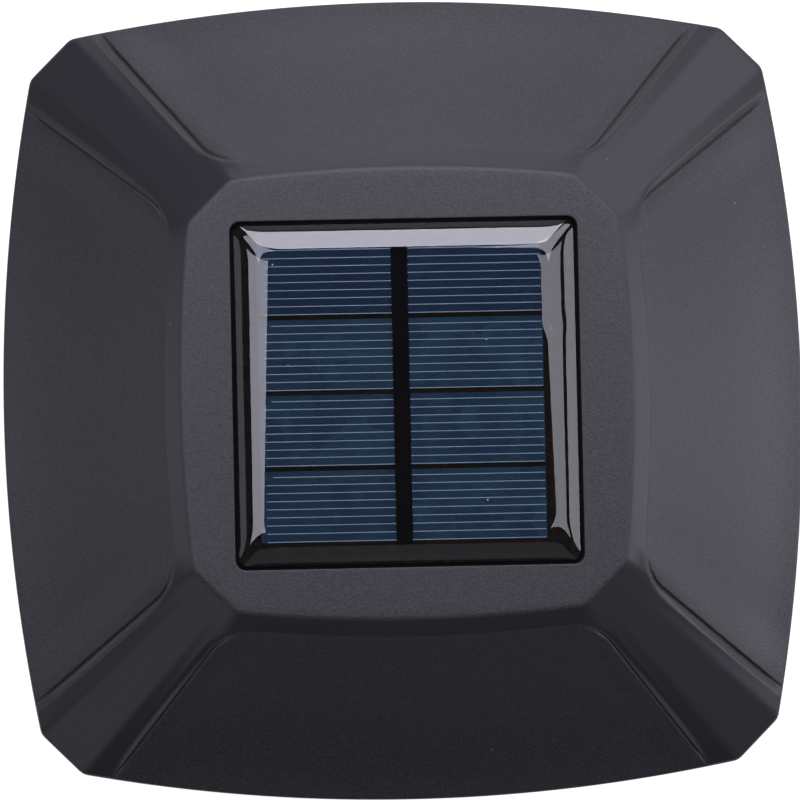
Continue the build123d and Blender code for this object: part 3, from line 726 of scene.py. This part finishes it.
    def pocket_rows(self, angles):
        """The pocket's floor and wall, up to the platform, with grain on the platform alone."""
        rounding_rows = 5
        rows = [(pocket_half, pocket_floor)]
        for turn in np.linspace(pi / 2, 0, rounding_rows):
            half = pocket_half + pocket_edge_radius * (1 - sin(turn))
            rows.append((half, platform_level - pocket_edge_radius * (1 - cos(turn))))
        rows.append((pocket_half + pocket_edge_radius + pocket_border, platform_level))
        loops = []
        for half, level in rows:
            loop = at_level(rounded_square(angles, half, pocket_corner_radius), level)
            # Only the platform is grained. The pocket's wall and floor keep the darker satin tone:
            # partly a smooth moulded wall, partly painted shade in the pocket.
            grain = float(level == platform_level)
            loops.append(np.column_stack([loop, np.full(len(loop), grain)]))
        return loops

    def under_rows(self):
        """The inside, without grain: the rim's foot, the ledge for the seal and the ceiling."""
        ledge_start = slope_run - roof_wall
        rows = [
            (slope_run, rim_bottom + rim_foot),
            (slope_run - rim_foot, rim_bottom),
            (ledge_start, rim_bottom),
            (ledge_start, ledge_level),
            (ledge_start - ledge_width, ledge_level),
            (ceiling_reach, ceiling_level),
        ]
        loops = []
        for distance, level in rows:
            plan = self.plan(distance)
            row = np.column_stack([plan, np.full(len(plan), level), np.zeros(len(plan))])
            loops.append(all_round(row))
        return loops

    def build(self):
        slopes = self.slope_rows()
        angles = np.arctan2(slopes[0][:, 1], slopes[0][:, 0])
        loops = self.pocket_rows(angles) + slopes + self.under_rows()
        shell = Shell()
        shell.skin(loops)
        for turn in range(4):
            x = roof_boss_offset * cos(turn * pi / 2)
            y = roof_boss_offset * sin(turn * pi / 2)
            shell.skin(bored_boss(x, y, soffit_top, ceiling_level + roof_boss_overlap))
        made = piece("roof", shell, roof_abs(), instead_of="roof_shell", sharp=40)
        grain = np.concatenate([loop[:, 3] for loop in loops])
        values = np.zeros(len(made.data.vertices))
        values[: len(grain)] = grain
        made.data.attributes.new("grain", "FLOAT", "POINT").data.foreach_set("value", values)
        return made


def bored_boss(x, y, bottom, top):
    """Loops of a round boss with a blind screw hole from below."""
    count = 32
    angles = np.linspace(0, 2 * pi, count + 1)[:-1]
    circle = np.column_stack([np.cos(angles), np.sin(angles)])
    steps = [
        (roof_boss_bore, bottom + roof_boss_bore_depth),
        (roof_boss_bore, bottom),
        (roof_boss_radius, bottom),
        (roof_boss_radius, top),
    ]
    return [at_level(circle * radius + (x, y), level) for radius, level in steps]


def resin_drop(inwards, width):
    """How far the resin's margin lies below its flat middle, so far inwards from the board's edge."""
    inner = width - resin_knee
    rest = np.minimum(width - inwards, inner)
    outer = np.maximum(resin_knee - inwards, 0)
    bend = (resin_edge_slope - resin_knee_slope) / resin_knee
    return resin_knee_slope * (rest**2 / (2 * inner) + outer) + bend * outer**2 / 2


def panel_resin():
    """Poured resin over the cells, with a flat middle and a round margin down to the board's edge. It
    ran out a little differently on each side before it set."""
    per_side, rows = 80, 30
    spacing = np.linspace(-pi / 2, pi / 2, per_side + 1)[:-1]
    quarter = 45 * np.sin(spacing)  # closer together at the corners
    angles = np.radians(np.concatenate([quarter + 90 * turn for turn in range(4)]))
    edge = rounded_square(angles, resin_half, resin_corner_radius)
    flat_half = board_half - resin_margin
    flat = rounded_square(angles, flat_half, 2 * resin_corner_radius)
    left = resin_left_margin + resin_left_slant * flat[:, 1]
    widening = smooth_step(flat[:, 1], *resin_right_change)
    right = resin_right_margin + resin_right_slant * flat[:, 1]
    right += (resin_margin - right) * widening
    margin = np.where(flat[:, 0] < 0, left, right)
    flat[:, 0] *= (board_half - margin) / flat_half
    core = resin_half - resin_corner_radius
    outward = edge - np.clip(edge, -core, core)
    sideways = outward[:, 0] ** 2 / (outward**2).sum(axis=1)
    width = margin * sideways + resin_margin * (1 - sideways)
    loops = [at_level(edge, resin_low[2] - resin_settling)]
    for part in np.linspace(0, 1, rows):
        level = resin_top - resin_drop(resin_inset + (width - resin_inset) * part, width)
        loops.append(np.column_stack([edge + (flat - edge) * part, level]))
    shell = Shell()
    shell.skin(loops)
    made = piece("resin_dome", shell, clear_epoxy(), instead_of="panel_resin", sharp=60)
    made.visible_shadow = False
    return made


def sealant_bead_as_gap_shade(material):
    """Silicone that was pressed out from under the board, in the gap around it. In its near-black finish
    it is also painted shade that darkens the gap.
    """
    count = 320
    angles = np.arange(count) * 2 * pi / count
    inner, outer = board_half - bead_overlap, pocket_half + bead_overlap
    middle = (board_half + pocket_half) / 2
    top = pocket_floor + bead_height
    section = [
        (inner, pocket_floor),
        (inner, top),
        (middle, top - bead_hollow),
        (outer, top),
        (outer, pocket_floor),
    ]
    loops = []
    for half, level in section:
        loops.append(at_level(rounded_square(angles, half, pocket_corner_radius), level))
    shell = Shell()
    shell.skin(loops, ring=True)
    return piece("sealant_bead_as_gap_shade", shell, material, sharp=60)


def tape_strip(material):
    """The black tape over the cells' busbars, torn off by hand, with one corner standing up."""
    per_edge = 90
    steps = np.linspace(tape_low[1], tape_high[1], per_edge)
    rng = np.random.default_rng(4)
    left, right = tape_raggedness * rng.standard_normal((2, per_edge)).clip(-1.5, 1.5)
    peak_width, peak_height = tape_peak
    middle = (tape_low[0] + tape_high[0]) / 2
    end = tape_high[1]
    outline = [(tape_high[0] + off, y) for off, y in zip(right, steps)]
    outline += [(middle + 2 * peak_width, end), (middle + peak_width, end + peak_height), (middle, end)]
    outline += [(tape_low[0] + off, y) for off, y in zip(left[::-1], steps[::-1])]
    shell = Shell()
    shell.skin([at_level(np.array(outline), level) for level in (tape_low[2], tape_high[2])])
    return piece("tape_strip", shell, material, instead_of="busbar_tape")


def cell_fingers(material):
    """Silver fingers printed along each cell, the last of them at the cell's lower edge."""
    shell = Shell()
    for row in range(cell_count):
        lower_edge = cell_low[1] + row * cell_pitch
        for finger in range(fingers_per_cell):
            y = lower_edge + finger_width + finger * finger_pitch
            first = finger == fingers_per_cell - 1
            start = cell_low[0] + finger_margin[0] + (first_finger_inset if first else 0)
            end = cell_high[0] - finger_margin[1]
            low = (start, y - finger_width / 2, cell_high[2])
            high = (end, y + finger_width / 2, cell_high[2] + finger_height)
            shell.block(low, high)
    return piece("cell_fingers", shell, material)


def lens():
    """The frosted lens: four fluted walls that flare upwards."""
    per_quarter = round(-2 * lens_low[0] / flute_pitch)
    samples = 8
    count = 4 * per_quarter * samples
    angles = np.arange(count) * 2 * pi / count
    low_half = lens_high[0] - lens_flare
    full = flute_land + flute_runout
    stations = [
        (0.0, 0.0),
        (flute_land, 0.0),
        (full, 1.0),
        (lens_height - full, 1.0),
        (lens_height - flute_land, 0.0),
        (lens_height, 0.0),
    ]
    outside = []
    for height, cut in stations:
        half = low_half + lens_flare * height / lens_height
        loop = rounded_square(angles, half, lens_corner_radius)
        wave = np.abs(np.sin(np.arange(count) * pi / samples))
        groove = flute_depth * cut * (1 - wave)
        reach = np.hypot(*loop.T)
        loop = loop * ((reach - groove) / reach)[:, None]
        outside.append(at_level(loop, lens_low[2] + height))
    inside = []
    for height in (lens_height, 0.0):
        half = low_half + lens_flare * height / lens_height - lens_wall
        loop = rounded_square(angles, half, lens_corner_radius - lens_wall)
        inside.append(at_level(loop, lens_low[2] + height))
    shell = Shell()
    shell.skin(outside + inside, ring=True)
    made = piece("fluted_lens", shell, frosted_acrylic(), instead_of="lens", sharp=50)
    made.visible_shadow = False
    return made


def thumb_ribs(name, middle, length, long_way, material, body):
    """Three low ribs with sloping sides, on a face that looks down."""
    cross_way = np.cross((0, 0, 1), long_way)
    shell = Shell()
    for offset in (-rib_pitch, 0.0, rib_pitch):
        loops = []
        for drop in (0.0, rib_height):
            along = np.outer((1, 1, -1, -1), long_way) * (length - drop) / 2
            across = np.outer((-1, 1, 1, -1), cross_way) * (rib_width - drop) / 2
            loops.append(middle + along + across + cross_way * offset - (0, 0, drop))
        shell.skin(loops)
    return piece(name, shell, material, body)


def soften(node, width):
    """Rounds the moulded edges of a solid."""
    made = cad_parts[node]
    weld = made.modifiers.new("weld", "WELD")
    weld.merge_threshold = 0.002 * mm
    flatten = made.modifiers.new("flatten", "DECIMATE")
    flatten.decimate_type = "DISSOLVE"
    flatten.angle_limit = radians(0.5)
    bevel = made.modifiers.new("soften", "BEVEL")
    bevel.width = width * mm
    bevel.segments = 2
    bevel.limit_method = "ANGLE"
    bevel.angle_limit = radians(35)
    bevel.use_clamp_overlap = True
    bevel.harden_normals = False


def finish_node(node, material):
    """Gives a solid of the frame its material."""
    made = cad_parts[node]
    made.data.materials.clear()
    made.data.materials.append(material)


# Finishes. After two tones come the roughness, and the size and depth of the grain in millimetres.
# Black ABS from a finely blasted mould: soft, even sheen on the lower casing
black_abs = grainy("black_abs_blasted", "#242427", "#2b2b2e", 0.45, 0.5, 0.02)
# White ABS from a polished mould: pale and clean, to throw the light outwards
white_abs = grainy("white_abs_polished", "#dcdbd6", "#e4e3df", 0.35, 0.6, 0.006)
# Grey ABS, moulded, with a slight grain that the thumb feels
grey_abs = grainy("grey_abs_blasted", "#8f8f92", "#9c9c9f", 0.5, 0.5, 0.02)
# Closed-cell foam rubber, die-cut: dull and pitted, with cells drawn coarse enough to show
foam_rubber = grainy("closed_cell_rubber", "#1f1f20", "#29292a", 0.85, 0.7, 0.06)
# Silicone, squeezed out wet and cured dull, made near black and with little gloss as painted shade, so
# that the gap around the panel looks deep
silicone_as_gap_shade = grainy("black_silicone_as_painted_gap_shade", "#050506", "#080809", 0.7, 3.0, 0.05, {"Specular IOR Level": 0.1})
# Adhesive tape with a creped plastic backing: nearly black, with a soft sheen
creped_tape = grainy("creped_black_tape", "#050506", "#08080a", 0.5, 0.6, 0.03, under_resin)
# Screen-printed silver paste: pale grey, dull and slightly grainy
silver_paste = grainy("screen_printed_silver", "#535e65", "#67727a", 0.5, 0.5, 0.004, under_resin)
# Steel, zinc-plated and passivated: bright grey with a faint drift in tone
zinc_steel = grainy("zinc_plated_steel", "#a9abb0", "#c2c3c6", 0.32, 0.4, 0.006, {"Metallic": 1.0})
# Spring steel strip, nickel-plated: warmer and brighter than zinc
nickel_strip = grainy("nickel_plated_strip", "#b9b4a8", "#cfcac0", 0.25, 0.5, 0.004, {"Metallic": 1.0})
# Aluminium, drawn into a can: pale, with fine drawing marks
drawn_can = grainy("drawn_aluminium", "#c6c8ca", "#d6d7d9", 0.28, 0.3, 0.004, {"Metallic": 1.0})
# Epoxy moulding compound of a chip: black, matt, finely gritty
chip_compound = grainy("epoxy_moulding_compound", "#1a1a1b", "#222223", 0.6, 0.3, 0.01)
# Sintered ferrite of a choke: dark brown-grey and stony
ferrite = grainy("sintered_ferrite", "#2a2725", "#353130", 0.7, 0.4, 0.02)
# Phosphor gel in a lamp's package: yellow, glossy and slightly uneven
phosphor = grainy("phosphor_gel", "#e3bf3c", "#f0d060", 0.3, 0.5, 0.01)
# Extruded PVC insulation, glossy: black on one lead of a pair, red on the other
pvc_pair = sided(
    "extruded_pvc", "#161617", "#8f1d1a", border=0, soft=0.02, roughness=0.4, grain=0.6, depth=0.01
)
# Shrunk PVC sleeve of the battery: green, with a pale band at the positive end
shrunk_sleeve = sided(
    "shrunk_pvc_sleeve", "#1d6b3a", "#d8dad6", border=19, soft=0.1, roughness=0.28, grain=2.0, depth=0.01
)
# Glass-fibre laminate under solder mask: black behind the cells, white around the lamps, green below
panel_laminate = glass_fibre_board("black_solder_mask_board", "#0c0a09", "#120f0d", 0.8, under_resin)
lamp_laminate = glass_fibre_board("white_solder_mask_board", "#dddcd8", "#e9e7e0", 0.7)
circuit_laminate = glass_fibre_board("green_solder_mask_board", "#124a29", "#25703f", 0.5)

Roof().build()
sealant_bead_as_gap_shade(silicone_as_gap_shade)
panel_resin()
tape_strip(creped_tape)
cell_fingers(silver_paste)
lens()
knob_face = ((knob_low[0] + knob_high[0]) / 2, (knob_low[1] + knob_high[1]) / 2, knob_low[2])
thumb_ribs("knob_ribs", knob_face, knob_rib_length, (0, 1, 0), grey_abs, "switch_knob")
door_face = (0.0, door_low[1] + door_rib_inset, door_high[2] - door_thickness)
thumb_ribs("door_ribs", door_face, door_rib_length, (1, 0, 0), black_abs, "battery_door")

finishes = {
    "solar_cells": solar_silicon(),
    "panel_board": panel_laminate,
    "panel_sealant": silicone_as_gap_shade,
    "panel_leads": pvc_pair,
    "led_leads": pvc_pair,
    "battery_leads": pvc_pair,
    "soffit_plate": black_abs,
    "base_collar": black_abs,
    "chassis_plate": black_abs,
    "battery_door": black_abs,
    "switch_knob": grey_abs,
    "switch_body": chip_compound,
    "roof_seal": foam_rubber,
    "lens_seal_top": foam_rubber,
    "lens_seal_bottom": foam_rubber,
    "chassis_seal": foam_rubber,
    "reflector_cover": white_abs,
    "led_board": lamp_laminate,
    "leds": phosphor,
    "circuit_board": circuit_laminate,
    "driver_chip": chip_compound,
    "choke_coil": ferrite,
    "capacitor": drawn_can,
    "battery_cell": shrunk_sleeve,
    "battery_contact": nickel_strip,
    "battery_spring": nickel_strip,
}
for screws in ("roof", "led_board", "reflector", "circuit_board", "tie"):
    finishes[screws + "_screws"] = zinc_steel
for node, material in finishes.items():
    finish_node(node, material)
for node in ("base_collar", "soffit_plate", "chassis_plate", "battery_door", "switch_knob"):
    soften(node, moulded_edge)


# Stage, in metres
table_width = 8.0
table_glow = 0.93  # brightness to the eye and in reflections
table_lamp_width = 1.0
table_lamp_depth = 0.3  # below the table
table_lamp_radiance = 1.1
room_level = 0.03
softbox_distance = 0.55  # from the middle of the panel
softbox_colour = "#f2f0ff"
# Each softbox: name, bearing and both edges in degrees, move sideways, width, radiance
softboxes = (
    ("softbox_back", 0, 22, 45, 0.0, 0.22, 9.6),
    ("softbox_back_low", 0, 47, 63, 0.0, 0.3, 0.7),
    ("softbox_back_floor", 0, 63, 85, 0.0, 0.3, 4.2),
    ("softbox_back_left", 322, 17, 32, 0.0, 0.15, 5.0),
    ("softbox_back_left_low", 315, 50, 82, 0.0, 0.24, 0.4),
    ("softbox_back_right", 39, 17, 40, 0.0, 0.17, 4.6),
    ("softbox_back_right_low", 45, 50, 80, 0.0, 0.36, 3.2),
    ("softbox_left", 270, 7, 30, 0.02, 0.16, 4.8),
    ("softbox_left_strip", 270, 40, 48, 0.0, 0.2, 1.0),
    ("softbox_left_low", 270, 50, 62, 0.0, 0.2, 3.6),
    ("softbox_left_floor", 270, 62, 85, 0.0, 0.26, 1.4),
    ("softbox_right", 90, 8, 34, -0.02, 0.16, 3.6),
    ("softbox_right_low", 90, 39, 53, 0.0, 0.24, 3.8),
    ("softbox_right_floor", 90, 58, 85, 0.0, 0.26, 5.8),
    ("softbox_front_left", 225, 50, 80, 0.0, 0.2, 1.4),
    ("softbox_front_right", 135, 50, 80, 0.0, 0.2, 0.4),
    ("softbox_front", 180, 24, 45, 0.0, 0.2, 0.3),
)


def light_table():
    """A plain pale table, white to the camera, that keeps the shadow. Light from beneath comes through
    it, and from below it isn't seen, so that the underside can be looked at."""
    half = table_width / 2
    corners = [(-half, -half, 0), (half, -half, 0), (half, half, 0), (-half, half, 0)]
    mesh = bpy.data.meshes.new("light_table")
    mesh.from_pydata(corners, [], [(0, 1, 2, 3)])
    table = bpy.data.objects.new("light_table", mesh)
    bpy.context.scene.collection.objects.link(table)
    table.visible_shadow = False
    material = bpy.data.materials.new("opal_acrylic_sheet")
    material.use_nodes = True
    tree = material.node_tree
    tree.nodes.clear()
    path = shader(tree, "ShaderNodeLightPath").outputs
    seen = path["Is Camera Ray"]
    for ray in ("Is Glossy Ray", "Is Transmission Ray"):
        either = shader(tree, "ShaderNodeMath", {0: seen, 1: path[ray]}, operation="MAXIMUM")
        seen = either.outputs["Value"]
    level = shader(tree, "ShaderNodeMath", {0: seen, 1: table_glow}, operation="MULTIPLY")
    sheet = shader(tree, "ShaderNodeBsdfDiffuse", {"Color": linear("#868686")})
    glow = shader(tree, "ShaderNodeEmission", {"Strength": level.outputs["Value"]})
    both = shader(tree, "ShaderNodeAddShader", {0: sheet.outputs["BSDF"], 1: glow.outputs["Emission"]})
    underneath = shader(tree, "ShaderNodeNewGeometry").outputs["Backfacing"]
    clear = shader(tree, "ShaderNodeBsdfTransparent")
    sides = shader(
        tree, "ShaderNodeMixShader", {0: underneath, 1: both.outputs["Shader"], 2: clear.outputs["BSDF"]}
    )
    shader(tree, "ShaderNodeOutputMaterial", {"Surface": sides.outputs["Shader"]})
    mesh.materials.append(material)


def softbox(name, bearing, near, far, sideways, width, radiance):
    """An oblong light that faces the panel. The bearing is clockwise from +Y, seen from above. Its edges
    are so many degrees off the vertical, and it is moved sideways along its width."""
    lamp = bpy.data.lights.new(name, "AREA")
    lamp.shape = "RECTANGLE"
    lamp.size = width
    lamp.size_y = 2 * softbox_distance * tan(radians(far - near) / 2)
    lamp.energy = radiance * lamp.size * lamp.size_y * pi
    lamp.color = linear(softbox_colour)[:3]
    made = bpy.data.objects.new(name, lamp)
    bpy.context.scene.collection.objects.link(made)
    tilt = radians((near + far) / 2)
    turn = radians(bearing)
    out = Vector((sin(turn) * sin(tilt), cos(turn) * sin(tilt), cos(tilt)))
    side = Vector((cos(turn), -sin(turn), 0))
    made.location = Vector((0, 0, platform_level * mm)) + out * softbox_distance + side * sideways
    made.rotation_euler = (-out).to_track_quat("-Z", "Y").to_euler()
    made.visible_camera = False
    return made


def studio_light():
    """Softboxes all round, a dim room that is white to the camera alone, and a lamp under the table."""
    world = bpy.data.worlds.new("dim_room")
    bpy.context.scene.world = world
    world.use_nodes = True
    tree = world.node_tree
    seen = shader(tree, "ShaderNodeLightPath").outputs["Is Camera Ray"]
    strength = shader(tree, "ShaderNodeMath", {0: seen, 1: room_level}, operation="MAXIMUM")
    tree.links.new(strength.outputs["Value"], tree.nodes["Background"].inputs["Strength"])
    tree.nodes["Background"].inputs["Color"].default_value = linear("#ffffff")
    for settings in softboxes:
        softbox(*settings)
    lamp = bpy.data.lights.new("table_lamp", "AREA")
    lamp.size = table_lamp_width
    lamp.energy = table_lamp_radiance * pi * table_lamp_width**2
    made = bpy.data.objects.new("table_lamp", lamp)
    bpy.context.scene.collection.objects.link(made)
    made.location = (0, 0, -table_lamp_depth)
    made.rotation_euler = (pi, 0, 0)  # it shines upwards
    made.visible_camera = False


def camera():
    """Straight above, and leaning a little towards the lower left of the picture."""
    distance = 900.0  # camera to rim
    lean = 0.057  # sideways over height
    lean_bearing = radians(209)
    roll = radians(1.22)
    rim_half_pixels = 399.6
    rim_centre = (403.6, 398.8)
    frame_pixels = 800
    sensor = 36.0
    target = Vector((0, 0, rim_top))
    side = Vector((sin(lean_bearing), cos(lean_bearing), 0)) * lean
    place = target + (side + Vector((0, 0, 1))) * distance
    eye = bpy.data.cameras.new("camera")
    eye.sensor_width = sensor
    eye.lens = distance * sqrt(1 + lean**2) * rim_half_pixels / (roof_width / 2) / frame_pixels * sensor
    eye.shift_x = (frame_pixels / 2 - rim_centre[0]) / frame_pixels
    eye.shift_y = (rim_centre[1] - frame_pixels / 2) / frame_pixels
    made = bpy.data.objects.new("camera", eye)
    bpy.context.scene.collection.objects.link(made)
    back = (place - target).normalized()
    up = Vector((sin(roll), cos(roll), 0))
    right = up.cross(back).normalized()
    up = back.cross(right)
    turn = Matrix((right, up, back)).transposed().to_4x4()
    made.matrix_world = Matrix.Translation(place * mm) @ turn
    bpy.context.scene.camera = made


light_table()
studio_light()
camera()
bpy.context.scene.view_settings.view_transform = "Standard"
